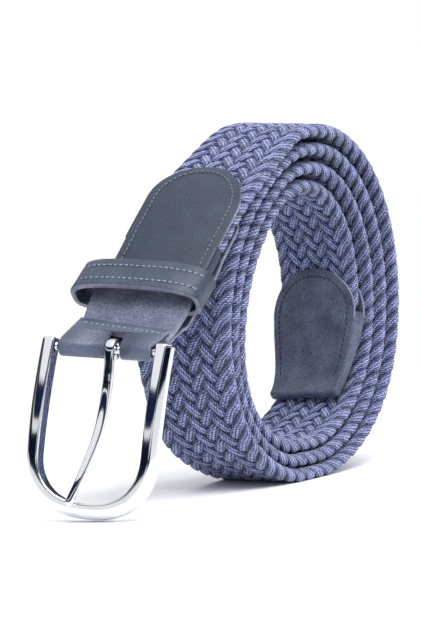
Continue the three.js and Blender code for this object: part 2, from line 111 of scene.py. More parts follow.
def coil_point(turn):
    a = math.pi / 2 - turn * 2 * math.pi
    out = along(FLARE, turn)
    r = face_radius(turn) - pressed(turn) - along(TIP_PATH, turn) - STRAP_T / 2 + out / 2
    return r * math.cos(a), SET_BACK * (turn - MID_TURN), COIL_Z + r * math.sin(a), out


KNOT_STEP = 0.02             # turns between knots of the centre line
KNOT_CUTS = 30               # points from one knot to the next
PAST_TIP = 0.0401            # turns added to the count of knots, so that the line goes on past the tip
SLOPE_STEP = 0.6             # mm each way over which the line's direction is taken
knots = [(x, lerp(*OUTER_Y, i / (len(OUTER_END) - 1)), z, out) for i, (x, z, out) in enumerate(OUTER_END)]
knots += [coil_point(i * KNOT_STEP) for i in range(int((TIP_TURN + PAST_TIP) / KNOT_STEP) + 1)]
knots = np.array(knots)


def centre_line(points, cuts=KNOT_CUTS):
    """Points of a centripetal spline through the knots, with its length in the XZ plane."""
    pos = points[:, :3]
    first = 2 * pos[0] - pos[1]
    last = 2 * pos[-1] - pos[-2]
    ext = np.vstack([first, pos, last])
    step = np.sqrt(np.linalg.norm(np.diff(ext, axis=0), axis=1))[:, None]
    p0, p1, p2, p3 = ext[:-3], ext[1:-2], ext[2:-1], ext[3:]
    d0, d1, d2 = step[:-2], step[1:-1], step[2:]
    m1 = ((p1 - p0) / d0 - (p2 - p0) / (d0 + d1) + (p2 - p1) / d1) * d1
    m2 = ((p2 - p1) / d1 - (p3 - p1) / (d1 + d2) + (p3 - p2) / d2) * d1
    t = (np.arange(cuts) / cuts)[None, :, None]
    a, b, c, d = (q[:, None, :] for q in (p1, p2, m1, m2))
    cube = (2 * t ** 3 - 3 * t ** 2 + 1) * a + (t ** 3 - 2 * t ** 2 + t) * c
    cube = cube + (-2 * t ** 3 + 3 * t ** 2) * b + (t ** 3 - t ** 2) * d
    xyz = np.vstack([cube.reshape(-1, 3), pos[-1:]])
    out = np.interp(np.arange(len(xyz)) / cuts, np.arange(len(points)), points[:, 3])
    run = np.hypot(np.diff(xyz[:, 0]), np.diff(xyz[:, 2]))
    return np.concatenate([[0], np.cumsum(run)]), np.column_stack([xyz, out])


line_s, line_at = centre_line(knots)
end_knot = len(OUTER_END) + TIP_TURN / KNOT_STEP
LENGTH = float(np.interp(end_knot, np.arange(len(line_s)) / KNOT_CUTS, line_s))


def at(s):
    """Centre line (x, y, z, lead) at lengths s, carried straight on before its start."""
    s = np.atleast_1d(np.asarray(s, float))
    q = np.column_stack([np.interp(s, line_s, line_at[:, i]) for i in range(4)])
    slope = (line_at[20] - line_at[0]) / (line_s[20] - line_s[0])
    before = np.minimum(s, 0)[:, None]
    return q + before * np.array([slope[0], 0, slope[2], 0])


def frames(s):
    """Middle, direction along, width direction and outward normal at lengths s."""
    c, p, q = at(s), at(np.asarray(s) - SLOPE_STEP), at(np.asarray(s) + SLOPE_STEP)
    t = np.column_stack([q[:, 0] - p[:, 0], np.zeros(len(c)), q[:, 2] - p[:, 2]])
    t /= np.linalg.norm(t, axis=1)[:, None]
    up = np.column_stack([-t[:, 2], np.zeros(len(c)), t[:, 0]])
    tilt = np.arcsin(c[:, 3] / STRAP_W)[:, None]
    y = np.array([[0.0, 1.0, 0.0]])
    return c[:, :3], t, y * np.cos(tilt) + up * np.sin(tilt), up * np.cos(tilt) - y * np.sin(tilt)


def place(s, v, h):
    """Points at length s, v across and h out from the centre line, in metres."""
    mid, _, wide, normal = frames(s)
    return (mid + wide * np.asarray(v)[:, None] + normal * np.asarray(h)[:, None]) * MM


STRANDS = 15
COLUMNS = 14                 # crossings from edge to edge
UNIT = 2.25                  # step between crossings across the strap
STEP = 3.1                   # and along it
CYCLE = 2 * STRANDS          # steps after which a strand repeats
STRAND_W = 2.08              # half width of a strand
STRAND_T = 1.24              # half thickness
STRAND_LIFT = 1.1            # height of a strand's middle where it lies on top
SWING = 0.68                 # how far a strand swings past its last crossing at the edge, in crossings
STRAND_SIDES = 10
STRAND_CUTS = 4              # rings from one crossing to the next
YARN_SHIFT = 0.37            # mm by which a strand's yarn pattern is shifted against the one before
OPEN_EDGE = 3.4              # this near the strap's edge a strand lies open to the light and is painted paler, which sets in over this many mm
OPEN_RAMP = 2.6              # which sets in over this many mm
FLANK_SHADE = 0.45           # how much darker the painted shade makes a strand's flanks than its top


def strand_state(tau):
    """Across (in steps), height (-1 to 1) and turn of the section at a place in the strand's cycle."""
    tau = tau % CYCLE
    last = COLUMNS - 1
    knot, level = [], []
    for j in range(COLUMNS):
        knot += [j, 2 * COLUMNS - j]
        level += [-1.0 if j % 4 < 2 else 1.0, -1.0 if j % 4 > 1 else 1.0]
    order = np.argsort(knot)
    knot = np.append(np.array(knot)[order], CYCLE)
    level = np.append(np.array(level)[order], level[0])
    i = np.clip(np.searchsorted(knot, tau, "right") - 1, 0, len(knot) - 2)
    f = (tau - knot[i]) / (knot[i + 1] - knot[i])
    f = f * f * (3 - 2 * f)
    height = level[i] * (1 - f) + level[i + 1] * f
    right = last + SWING * (1 - (tau - last - 1) ** 2)
    left = -SWING * (1 - (tau - CYCLE + 1) ** 2)
    back = 2 * COLUMNS - tau
    across = np.where(tau <= 2 * COLUMNS, back, left)
    across = np.where(tau <= last + 2, right, across)
    across = np.where(tau <= last, tau, across)
    roll = np.where(tau <= last, 0, np.where(tau <= last + 2, (tau - last) / 2, 1.0))
    roll = np.where(tau > 2 * COLUMNS, 1 + (tau - 2 * COLUMNS) / 2, roll) * math.pi
    return (across - last / 2) * UNIT, height, roll


def in_scene(name, data):
    obj = bpy.data.objects.new(name, data)
    bpy.context.scene.collection.objects.link(obj)
    return obj


def braid_mesh(name, s_from, s_to, cap_start, cap_end):
    """One mesh with the tubes of all strands between two lengths along the strap."""
    count = int(round((s_to - s_from) / STEP * STRAND_CUTS)) + 1
    s = np.linspace(s_from, s_to, count)
    turn = np.linspace(0, 2 * math.pi, STRAND_SIDES, endpoint=False)
    cos, sin = np.cos(turn), np.sin(turn)
    verts, faces, uvs, shades = [], [], [], []
    base = 0
    for k in range(STRANDS):
        tau = (s - BRAID_START) / STEP - 2 * k
        v, level, roll = strand_state(tau)
        h = level * STRAND_LIFT
        eps = 0.05
        v1, l1, _ = strand_state(tau + eps)
        v0, l0, _ = strand_state(tau - eps)
        t = np.column_stack([np.full(count, 2 * eps * STEP), v1 - v0, (l1 - l0) * STRAND_LIFT])
        t /= np.linalg.norm(t, axis=1)[:, None]
        n = np.column_stack([np.zeros(count), -np.sin(roll), np.cos(roll)])
        w = np.cross(n, t)
        w /= np.linalg.norm(w, axis=1)[:, None]
        n = np.cross(t, w)
        pts = np.stack([s, v, h], axis=1)[:, None, :]
        pts = pts + w[:, None, :] * (cos * STRAND_W)[None, :, None]
        pts = pts + n[:, None, :] * (sin * STRAND_T)[None, :, None]
        flat = pts.reshape(-1, 3)
        world = place(flat[:, 0], flat[:, 1], flat[:, 2])
        world[:, 2] = np.maximum(world[:, 2], 0.0)
        verts.append(world)
        row = np.arange(count - 1)[:, None] * STRAND_SIDES
        place_in_row = np.arange(STRAND_SIDES)[None, :]
        a = row + place_in_row
        b = row + (place_in_row + 1) % STRAND_SIDES
        quads = np.stack([a, a + STRAND_SIDES, b + STRAND_SIDES, b], axis=-1).reshape(-1, 4)
        faces.append(quads + base)
        run = s * math.hypot(UNIT, STEP) / STEP + k * YARN_SHIFT
        u0 = np.repeat(run, STRAND_SIDES).reshape(count, STRAND_SIDES)
        side = np.arange(STRAND_SIDES) / STRAND_SIDES
        uv = np.stack([
            np.stack([u0[:-1], np.broadcast_to(side, (count - 1, STRAND_SIDES))], -1),
            np.stack([u0[1:], np.broadcast_to(side, (count - 1, STRAND_SIDES))], -1),
            np.stack([u0[1:], np.broadcast_to(side + 1 / STRAND_SIDES, (count - 1, STRAND_SIDES))], -1),
            np.stack([u0[:-1], np.broadcast_to(side + 1 / STRAND_SIDES, (count - 1, STRAND_SIDES))], -1),
        ], axis=2)
        uvs.append(uv.reshape(-1, 2))
        # Painted shade: a strand is paler where it lies open to the light, high on the strap and on the top
        # of its section, and darker down at its flanks.
        proud = np.abs(pts[:, :, 2]) / (STRAND_LIFT + STRAND_T)
        edge = np.clip((np.abs(pts[:, :, 1]) - STRAP_W / 2 + OPEN_EDGE) / OPEN_RAMP, 0, 1)
        painted_shade = 1 - np.abs(cos)[None, :] ** 3 * FLANK_SHADE
        shades.append((np.clip(np.maximum(proud, edge), 0, 1) * painted_shade).reshape(-1))
        base += len(flat)
    verts = np.vstack(verts)
    quads = np.vstack(faces)
    caps = []
    rings = count * STRAND_SIDES
    for k in range(STRANDS):
        if cap_start:
            caps.append(tuple(k * rings + i for i in range(STRAND_SIDES)))
        if cap_end:
            caps.append(tuple((k + 1) * rings - 1 - i for i in range(STRAND_SIDES)))
    mesh = bpy.data.meshes.new(name)
    loops = np.concatenate([quads.reshape(-1), np.array([i for c in caps for i in c], int)])
    sizes = np.concatenate([np.full(len(quads), 4), np.full(len(caps), STRAND_SIDES)])
    mesh.vertices.add(len(verts))
    mesh.vertices.foreach_set("co", verts.reshape(-1))
    mesh.loops.add(len(loops))
    mesh.loops.foreach_set("vertex_index", loops.astype(np.int32))
    mesh.polygons.add(len(sizes))
    mesh.polygons.foreach_set("loop_start", (np.cumsum(sizes) - sizes).astype(np.int32))
    mesh.polygons.foreach_set("use_smooth", np.ones(len(sizes), bool))
    uv = np.vstack(uvs + [np.zeros((len(caps) * STRAND_SIDES, 2))])
    mesh.uv_layers.new(name="yarn").data.foreach_set("uv", uv.reshape(-1))
    shade = np.concatenate(shades)
    # A colour layer that carries the painted shade to the braid's material.
    painted_shade_layer = mesh.color_attributes.new("painted_shade", "FLOAT_COLOR", "POINT")
    painted_shade_layer.data.foreach_set("color", np.column_stack([shade, shade, shade, np.ones(len(shade))]).reshape(-1))
    mesh.update()
    mesh.validate()
    return in_scene(name, mesh)


def linear(code):
    """Linear colour of an sRGB hex value."""
    out = []
    for i in (0, 2, 4):
        c = int(code[i:i + 2], 16) / 255
        out.append(c / 12.92 if c <= 0.04045 else ((c + 0.055) / 1.055) ** 2.4)
    return (*out, 1.0)


def node(mat, kind, settings=None, **links):
    """Adds a node: attributes and socket values from settings, links as socket=output or (node, output)."""
    n = mat.node_tree.nodes.new(kind)
    for key, value in (settings or {}).items():
        if hasattr(n, key) and key not in n.inputs:
            setattr(n, key, value)
        else:
            n.inputs[key].default_value = value
    for key, source in links.items():
        if isinstance(source, tuple):
            source = source[0].outputs[source[1]]
        mat.node_tree.links.new(source, n.inputs[key.replace("_", " ")])
    return n


def new_material(name):
    mat = bpy.data.materials.new(name)
    mat.use_nodes = True
    mat.node_tree.nodes.clear()
    return mat


def ramp(mat, source, output, stops):
    """Colour ramp with stops of (position, hex or grey)."""
    n = node(mat, "ShaderNodeValToRGB", None, Fac=(source, output))
    band = n.color_ramp
    while len(band.elements) < len(stops):
        band.elements.new(0.5)
    for e, (pos, colour) in zip(band.elements, stops):
        e.position = pos
        e.color = linear(colour) if isinstance(colour, str) else (colour, colour, colour, 1)
    return n


def ridges(mat, source, across, slant):
    """Parallel rounded ridges, 0 in the grooves and 1 on the crests, as rises of the two UV axes."""
    phase = node(mat, "ShaderNodeVectorMath", {"operation": "DOT_PRODUCT"}, Vector=(source, "UV"))
    phase.inputs[1].default_value = (math.pi * across, math.pi * slant, 0.0)
    swing = node(mat, "ShaderNodeMath", {"operation": "COSINE"}, Value=(phase, "Value"))
    return node(mat, "ShaderNodeMath", {"operation": "ABSOLUTE"}, Value=(swing, "Value"))


def combine(mat, operation, first, second):
    """Two sockets or numbers put together by one sum."""
    n = node(mat, "ShaderNodeMath", {"operation": operation})
    for socket, value in zip(n.inputs, (first, second)):
        if isinstance(value, (int, float)):
            socket.default_value = value
        else:
            mat.node_tree.links.new(value, socket)
    return n.outputs["Value"]


def times(mat, first, second):
    """Two colours multiplied."""
    n = node(mat, "ShaderNodeMix", {"data_type": "RGBA", "blend_type": "MULTIPLY"})
    n.inputs[0].default_value = 1.0
    mat.node_tree.links.new(first, n.inputs[6])
    mat.node_tree.links.new(second, n.inputs[7])
    return n.outputs[2]


YARN_LAY = 9.0               # mm in which a yarn goes once across a strand's face
YARNS = 10                   # yarns round a strand
LOOP = 1.15                  # mm between the loops of a yarn
FUZZ = 1.15                  # tufts of fibre in a mm; real ones are finer, these are coarse enough to show
PATCHES = 0.17               # paler and deeper patches in a mm, about 6 mm each
# Textured polyester yarn: matt, with a soft sheen; painted light and shade make it pale on its loops and deep
# blue down between the strands.
braid_mat = new_material("braided_polyester")
uv = node(braid_mat, "ShaderNodeUVMap", {"uv_map": "yarn"})
yarn = ridges(braid_mat, uv, 1 / YARN_LAY, YARNS)
loop = ridges(braid_mat, uv, 1 / LOOP, -YARNS)
where = node(braid_mat, "ShaderNodeTexCoord")
fibre = node(braid_mat, "ShaderNodeTexNoise", {"Scale": FUZZ / MM, "Detail": 3.0, "Roughness": 0.75},
             Vector=(where, "Object"))
patch = node(braid_mat, "ShaderNodeTexNoise", {"Scale": PATCHES / MM, "Detail": 2.0},
             Vector=(where, "Object"))
painted_shade = node(braid_mat, "ShaderNodeVertexColor", {"layer_name": "painted_shade"})
# Painted shade: the layer's shade picks deep navy for the hollows between strands and pale lilac for the
# tops.
deep = ramp(braid_mat, painted_shade, "Color", ((0.24, "1F266A"), (0.54, "4F5894"), (0.95, "A1ACE0")))
# The yarn's ridges darken the colour in their grooves and lighten it on their crests as painted shade and
# highlight; the fuzz mixed in is the fibre's own mottle.
loops_up = combine(braid_mat, "ADD", loop.outputs["Value"], 0.15)
knit = combine(braid_mat, "MULTIPLY", yarn.outputs["Value"], loops_up)
fluff = combine(braid_mat, "MULTIPLY", fibre.outputs["Fac"], 2.0)
knit = combine(braid_mat, "ADD", fluff, knit)
grain = node(braid_mat, "ShaderNodeMapRange",
             {"From Min": 1.0, "From Max": 2.0, "To Min": 0.05, "To Max": 2.05}, Value=knit)
patchy = node(braid_mat, "ShaderNodeMapRange",
              {"From Min": 0.3, "From Max": 0.7, "To Min": 0.49, "To Max": 0.69}, Value=(patch, "Fac"))
colour = times(braid_mat, deep.outputs["Color"], grain.outputs["Result"])
colour = times(braid_mat, colour, patchy.outputs["Result"])
bump = node(braid_mat, "ShaderNodeBump", {"Strength": 1.0, "Distance": 0.0004}, Height=knit)
shader = node(braid_mat, "ShaderNodeBsdfPrincipled",
              {"Roughness": 0.85, "Sheen Weight": 0.3, "Sheen Roughness": 0.45, "Specular IOR Level": 0.2},
              Base_Color=colour, Normal=(bump, "Normal"))
node(braid_mat, "ShaderNodeOutputMaterial", None, Surface=(shader, "BSDF"))

braid_end = LENGTH - TIP_BRAID
steps = int((braid_end - BRAID_START) / STEP)
cuts = [BRAID_START + STEP * round(steps * f) for f in (0, 1 / 3, 2 / 3, 1)]
for i, part in enumerate(("outer", "middle", "inner")):
    piece = braid_mesh("braid_" + part, cuts[i], cuts[i + 1], i == 0, i == 2)
    piece.data.materials.append(braid_mat)
    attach(piece, "belt")
    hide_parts("braided_strap")

# The front strip of leather at the buckle end.
# Cowhide with a fine grain and a U-shaped end, sewn over the braid along its edges; below the braid it is
# packed out to the same thickness. The cut edge is painted a paler grey.
LEATHER_W = 34.6
LEATHER_T = 1.3
EDGE_ROUND = 0.45            # rounding of its cut edges
PACKED_ROUND = 1.2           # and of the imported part's
END_HALF = 0.8               # half width left at the very end of a U
GAP = 0.3                    # left between leather and what it lies on,
BRAID_ROOM = 0.1             # and this much more where that is the braid
# Lengths along the centre line: the end of the U, the lower end, the back strip's sewn edge and the keeper's
# two edges.
TAB_END = 85.6
FRONT_END = 6.0
FOLD_EDGE = 9.0
KEEPER_FROM = 21.5
KEEPER_TO = 33.5
TAB_ROUND = 21.0             # the U begins this far before its end
TAB_LEAN = 1.8               # and leans this far toward the back rim,
LEAN_FROM = 60.0             # from this length on
FRONT_OUT = STRAP_T / 2 + GAP + BRAID_ROOM + LEATHER_T


def u_half(d, w, depth, power=2.2):
    """Half width of a strip with a U-shaped end, a distance d from that end."""
    if d >= depth:
        return w
    t = 1 - max(d, 0) / depth
    return w * (1 - t ** power) ** (1 / power)


def section(w, low, high, edge_round, steps=4):
    """A flat section with rounded edges, anticlockwise from its right side."""
    r = min(edge_round, (high - low) / 2 - 0.01, w - 0.01)
    pts = []
    corners = ((w - r, high - r, 0), (-w + r, high - r, 90), (-w + r, low + r, 180), (w - r, low + r, 270))
    for cx, cy, start in corners:
        for i in range(steps + 1):
            a = math.radians(start + 90 * i / steps)
            pts.append((cx + r * math.cos(a), cy + r * math.sin(a)))
    return np.array(pts)


def rounded_side(steps=4):
    """Which faces round a section belong to its two narrow sides."""
    n = 4 * (steps + 1)
    side = np.zeros(n, bool)
    half = steps // 2
    side[:half] = True
    side[2 * (steps + 1) - 1 - half:2 * (steps + 1) + half] = True
    side[n - 1 - half:] = True
    return side


def loft(name, rings, closed=False, side=None, mats=()):
    """A closed body through rings of equal point count; side tells which material each face takes."""
    rings = np.array(rings)
    count, n = rings.shape[:2]
    if side is not None:
        side = np.broadcast_to(side, (count, n))
    verts = [tuple(p) for p in rings.reshape(-1, 3)]
    faces, marks = [], []
    for i in range(count if closed else count - 1):
        a, b = i * n, ((i + 1) % count) * n
        for j in range(n):
            k = (j + 1) % n
            faces.append((a + j, b + j, b + k, a + k))
            marks.append(0 if side is None else int(side[i, j]))
    if not closed:
        faces.append(tuple(range(n)))
        faces.append(tuple((count - 1) * n + n - 1 - j for j in range(n)))
        marks += [1 if side is not None else 0] * 2
    mesh = bpy.data.meshes.new(name)
    mesh.from_pydata(verts, [], faces)
    for m in mats:
        mesh.materials.append(m)
    mesh.polygons.foreach_set("material_index", marks)
    round_faces = len(faces) - (0 if closed else 2)
    mesh.polygons.foreach_set("use_smooth", [i < round_faces for i in range(len(faces))])
    mesh.update()
    bm = bmesh.new()
    bm.from_mesh(mesh)
    bmesh.ops.recalc_face_normals(bm, faces=bm.faces)
    bm.to_mesh(mesh)
    bm.free()
    return in_scene(name, mesh)


CLOUDS = 0.13                # paler and darker clouds in a mm, about 8 mm each
SPECKS = 1.5                 # specks in a mm; the real pores are finer, these are coarse enough to show


def leather_material(name, dark, mid, light, roughness, grain_mm=0.55, grain=0.16, shine=0.45):
    """Dyed cowhide: a fine pebble in relief and colour over faint clouds, with a satin finish."""
    mat = new_material(name)
    spot = node(mat, "ShaderNodeTexCoord")
    cloud = node(mat, "ShaderNodeTexNoise", {"Scale": CLOUDS / MM, "Detail": 5.0}, Vector=(spot, "Object"))
    colour = ramp(mat, cloud, "Fac", ((0.3, dark), (0.5, mid), (0.72, light)))
    pebble = node(mat, "ShaderNodeTexVoronoi", {"Scale": 1 / (grain_mm * MM)}, Vector=(spot, "Object"))
    fine = node(mat, "ShaderNodeTexNoise", {"Scale": SPECKS / MM, "Detail": 3.0, "Roughness": 0.7},
                Vector=(spot, "Object"))
    spread = {"From Min": 0.3, "From Max": 0.7, "To Min": 1 - 2 * grain, "To Max": 1 + 2 * grain}
    speck = node(mat, "ShaderNodeMapRange", spread, Value=(fine, "Fac"))
    colour = times(mat, colour.outputs["Color"], speck.outputs["Result"])
    fine_part = combine(mat, "MULTIPLY", fine.outputs["Fac"], 0.8)
    height = combine(mat, "ADD", fine_part, pebble.outputs["Distance"])
    rise = node(mat, "ShaderNodeBump", {"Strength": 0.75, "Distance": 0.00012}, Height=height)
    body = node(mat, "ShaderNodeBsdfPrincipled", {"Roughness": roughness, "Specular IOR Level": shine},
                Base_Color=colour, Normal=(rise, "Normal"))
    node(mat, "ShaderNodeOutputMaterial", None, Surface=(body, "BSDF"))
    return mat


def belongs(piece, slot, *nodes, body="belt"):
    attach(piece, body)
    if nodes:
        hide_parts(*nodes)


# The keeper's leather: slate blue, with soft satin highlights.
hide_mat = leather_material("slate_cowhide", "2B3446", "343E51", "3E495D", 0.4)
# The front strip's: nearly navy, with a stronger speckle.
dark_mat = leather_material("dark_cowhide", "1A2539", "202B40", "263247", 0.4, 0.55, 0.26)
# The tip's: paler than the keeper's, and strongly speckled.
tip_mat = leather_material("pale_tip_cowhide", "373D52", "454B61", "525A70", 0.4, 0.55, 0.3)
# The back strip's and its fold's: a mid blue grey with the most shine.
gloss_mat = leather_material("glossed_cowhide", "3B4358", "474F67", "515A74", 0.42, 0.55, 0.16, 0.7)
# The front strip's below the keeper: matt, with the coarsest grain; its paleness is partly painted light.
lit_below_keeper_mat = leather_material("paler_lit_cowhide", "50556A", "5F647B", "6D738C", 0.6, 0.8, 0.32)
# Paint on the cut edges: a paler grey, so that an edge shows as a thin light line.
edge_mat = leather_material("painted_leather_edge", "5C5D72", "73748A", "8A8BA0", 0.45)

FOLDED_T = 2.8               # thickness under the keeper
PACKED_T = 5.0               # and from there to the braid
# The strip's thickness along its length, and its half width.
LAYERS = ((FRONT_END, 1.9), (FOLD_EDGE + 3, FOLDED_T), (KEEPER_TO + 1.0, FOLDED_T),
          (KEEPER_TO + 1.4, PACKED_T), (BRAID_START - 0.9, PACKED_T), (BRAID_START - 0.5, LEATHER_T),
          (TAB_END, LEATHER_T))
NARROW = ((FRONT_END, 15.9), (KEEPER_FROM, 17.4), (KEEPER_TO + 4, LEATHER_W / 2))
STATION = 0.8                # mm between rings
stations = list(np.arange(FRONT_END, TAB_END - TAB_ROUND, STATION)) + [s for s, _ in LAYERS[1:-1]]
stations += [TAB_END - TAB_ROUND * (1 - i / 30) ** 1.8 - (0.02 if i == 30 else 0) for i in range(31)]
stations = np.array(sorted(stations))


def tab_lean(s):
    return TAB_LEAN * ease((s - LEAN_FROM) / (TAB_END - LEAN_FROM))


rings = []
for s in stations:
    half = max(END_HALF, min(along(NARROW, s), u_half(TAB_END - s, LEATHER_W / 2, TAB_ROUND, 2)))
    deep_by = np.interp(s, [a for a, _ in LAYERS], [b for _, b in LAYERS])
    soft = PACKED_ROUND if deep_by > 4 else EDGE_ROUND
    pts = section(half, FRONT_OUT - deep_by, FRONT_OUT, soft)
    rings.append(place(np.full(len(pts), s), pts[:, 0] + tab_lean(s), pts[:, 1]))
thin_there = (stations < KEEPER_TO + 1) | (stations > BRAID_START - 0.6)
painted = thin_there[:, None] & rounded_side()[None, :]
# Painted light: below the keeper's middle the strip takes the paler, matt leather.
lit_below_keeper = (stations < (KEEPER_FROM + KEEPER_TO) / 2)[:, None] & ~painted
tab_front = loft("tab_front_leather", rings, False, painted + 2 * lit_below_keeper, (dark_mat, edge_mat, lit_below_keeper_mat))
belongs(tab_front, "leather", "tab_front")


TWISTS = 3.0                 # mottles in a mm of thread


def thread_material(name, dark, light):
    """Sewing thread, matt and mottled by its twist."""
    mat = new_material(name)
    spot = node(mat, "ShaderNodeTexCoord")
    twist = node(mat, "ShaderNodeTexNoise", {"Scale": TWISTS / MM, "Detail": 2.0}, Vector=(spot, "Object"))
    colour = ramp(mat, twist, "Fac", ((0.3, dark), (0.7, light)))
    body = node(mat, "ShaderNodeBsdfPrincipled", {"Roughness": 0.65}, Base_Color=(colour, "Color"))
    node(mat, "ShaderNodeOutputMaterial", None, Surface=(body, "BSDF"))
    return mat


# Pale thread stands out on the fold and the keeper, grey thread lies quieter on the front strip, and the dark
# thread of the tip shows as near black; the same near black stands for the needle holes as painted shade.
thread_mat = thread_material("pale_linen_thread", "4E566A", "A8AFC2")
grey_thread_mat = thread_material("grey_linen_thread", "3C4354", "7E8698")
dark_thread_and_hole_shade_mat = thread_material("dark_thread_and_hole_shade", "14161E", "1E212B")


def stitches(name, points, normals, length, thick, gap, mat, shift=0.0):
    """Threads laid in short arches along a run of surface points; each dips into its hole at both ends."""
    points, normals = np.array(points), np.array(normals)
    run = np.concatenate([[0], np.cumsum(np.linalg.norm(np.diff(points, axis=0), axis=1))])
    total = run[-1]
    pitch = (length + gap) * MM
    number = max(1, int(total / pitch)) - (1 if shift else 0)
    verts, faces = [], []
    sides = 6
    bends = 6
    for k in range(number):
        start = (total - number * pitch) / 2 + k * pitch + gap * MM / 2
        for i in range(bends + 1):
            t = i / bends
            d = start + t * length * MM
            p = np.array([np.interp(d, run, points[:, c]) for c in range(3)])
            q = np.array([np.interp(min(d + 1e-4, total), run, points[:, c]) for c in range(3)])
            b = np.array([np.interp(max(d - 1e-4, 0), run, points[:, c]) for c in range(3)])
            n = np.array([np.interp(d, run, normals[:, c]) for c in range(3)])
            n /= np.linalg.norm(n)
            tangent = (q - b) / np.linalg.norm(q - b)
            w = np.cross(n, tangent)
            w /= np.linalg.norm(w)
            rise = (math.sin(math.pi * t) ** 0.5 * 0.75 - 0.35) * thick * MM
            fat = (0.65 + 0.35 * math.sin(math.pi * t)) * thick * MM
            for j in range(sides):
                a = 2 * math.pi * j / sides
                verts.append(p + n * (rise + math.sin(a) * fat * 0.8) + w * math.cos(a) * fat)
        base = k * (bends + 1) * sides
        for i in range(bends):
            for j in range(sides):
                a = base + i * sides + j
                b = base + i * sides + (j + 1) % sides
                faces.append((a, a + sides, b + sides, b))
        faces.append(tuple(base + sides - 1 - j for j in range(sides)))
        faces.append(tuple(base + bends * sides + j for j in range(sides)))
    mesh = bpy.data.meshes.new(name)
    mesh.from_pydata([tuple(v) for v in verts], [], faces)
    mesh.materials.append(mat)
    mesh.polygons.foreach_set("use_smooth", [True] * len(faces))
    return in_scene(name, mesh)


def on_strip(path, height):
    """Points and normals on a strip's face for a path of (length, across)."""
    s = np.array([p[0] for p in path], float)
    v = np.array([p[1] for p in path], float)
    pts = place(s, v, np.full(len(s), float(height)))
    return pts, frames(s)[3]


def u_path(start, end, half, inset, depth, cuts=40):
    """Up one side of a U-ended strip, round its end and down the other, inset from the edge."""
    side = half - inset
    up = [(s, -side) for s in np.linspace(start, end - depth, 20)]
    turn = [math.pi * i / cuts for i in range(1, cuts)]
    arch = [(end - depth + (depth - inset) * math.sin(a), -side * math.cos(a)) for a in turn]
    return up + arch + [(s, -v) for s, v in reversed(up)]


def sew(name, points, normals, mat):
    """A row of stitches, with short near-black threads between them as painted shade for the needle holes."""
    belongs(stitches(name, points, normals, STITCH, THREAD, STITCH_GAP, mat), "leather")
    between = STITCH + STITCH_GAP - HOLE
    holes = stitches(name + "_holes", points, normals, HOLE, HOLE_WIDE, between, dark_thread_and_hole_shade_mat, 0.5)
    belongs(holes, "leather")


HOLE = 0.62                  # length of a needle hole
HOLE_WIDE = 0.24             # its half width
STITCH = 1.55                # length of a stitch
STITCH_GAP = 0.45
THREAD = 0.3                 # half width of the thread
SEAM_IN = 3.1                # the seam runs this far inside the edge
sewn = [(s, v + tab_lean(s)) for s, v in u_path(KEEPER_TO + 3, TAB_END, LEATHER_W / 2, SEAM_IN, TAB_ROUND)]
pts, nrm = on_strip(sewn, FRONT_OUT)
sew("tab_stitches", pts, nrm, grey_thread_mat)

# The back strip of leather.
# A second strip of cowhide, behind the braid; it runs down, wraps the buckle's bar and is sewn over the front
# strip's lower end. A slot lets the prong through.
TOP = np.array([-94.7, -4.5, 55.7])      # middle of the frame's top front edge
LEAN = math.radians(12.6)
YAW = math.radians(14.4)
ROLL = math.radians(5.0)
BAR_R = 1.35                 # radius of the bar
BAR_DOWN = 2.4               # its middle below the top of the frame
BAR_IN = 4.2                 # and behind its front face
BAR_ROOM = 0.08              # left between bar and leather, beyond the usual gap
BACK_END = 73.5              # the strip's upper end, as a length along the centre line
BACK_ROUND = 15              # its U begins this far before it
BACK_LOW = 13.9              # here it turns off toward the bar
LOW_HALF = 16.2              # half width low down,
NARROW_X = -62               # where it narrows from this x on,
NARROW_LONG = 16             # over this distance
FOLD_HALF = 16               # half width beside the bar
WRAP_HALF = 15.6             # and round it
WRAP_SHIFT = 0.6             # the wrap sits this far toward the back rim


def unit(v):
    return v / np.linalg.norm(v)


across = unit(np.array([-math.sin(YAW), math.cos(YAW), math.tan(ROLL)]))
down = math.sin(LEAN) * np.array([-math.cos(YAW), -math.sin(YAW), 0]) + np.array([0, 0, -math.cos(LEAN)])
down = unit(down - across * down.dot(across))
front = np.cross(across, down)
BAR = TOP + down * BAR_DOWN - front * BAR_IN
BEHIND = ((14, -1.5), (KEEPER_FROM - 3, -3.7), (KEEPER_TO, -4.0), (41, -3.8), (BRAID_START, -3.12),
          (BACK_END, -3.04))     # (length, mm out from the centre line)
path = []                    # rows of point, width direction, half width
s = BACK_END
while s >= BACK_LOW:
    mid, _, wide, normal = (q[0] for q in frames(s))
    p = mid + normal * along(BEHIND, s)
    narrowed = lerp(LEATHER_W / 2, LOW_HALF, ease((NARROW_X - p[0]) / NARROW_LONG))
    half = max(END_HALF, min(u_half(BACK_END - s, LEATHER_W / 2, BACK_ROUND), narrowed))
    path.append((p, wide, half))
    s -= 0.5 if s > BACK_END - 14 else 1.0
start = path[-1]
edge_mid, _, edge_wide, edge_normal = (q[0] for q in frames(FOLD_EDGE))
edge_mid = edge_mid + edge_normal * (FRONT_OUT + GAP + LEATHER_T / 2)
mid_r = BAR_R + GAP + BAR_ROOM + LEATHER_T / 2
entry = np.array([(start[0] - BAR).dot(front), -(start[0] - BAR).dot(down)])
leave = np.array([(edge_mid - BAR).dot(front), -(edge_mid - BAR).dot(down)])
a0 = math.atan2(entry[1], entry[0]) + math.acos(mid_r / np.linalg.norm(entry))
a1 = math.atan2(leave[1], leave[0]) - math.acos(mid_r / np.linalg.norm(leave)) + 2 * math.pi


def round_bar(a):
    return BAR + across * WRAP_SHIFT + front * mid_r * math.cos(a) - down * mid_r * math.sin(a)


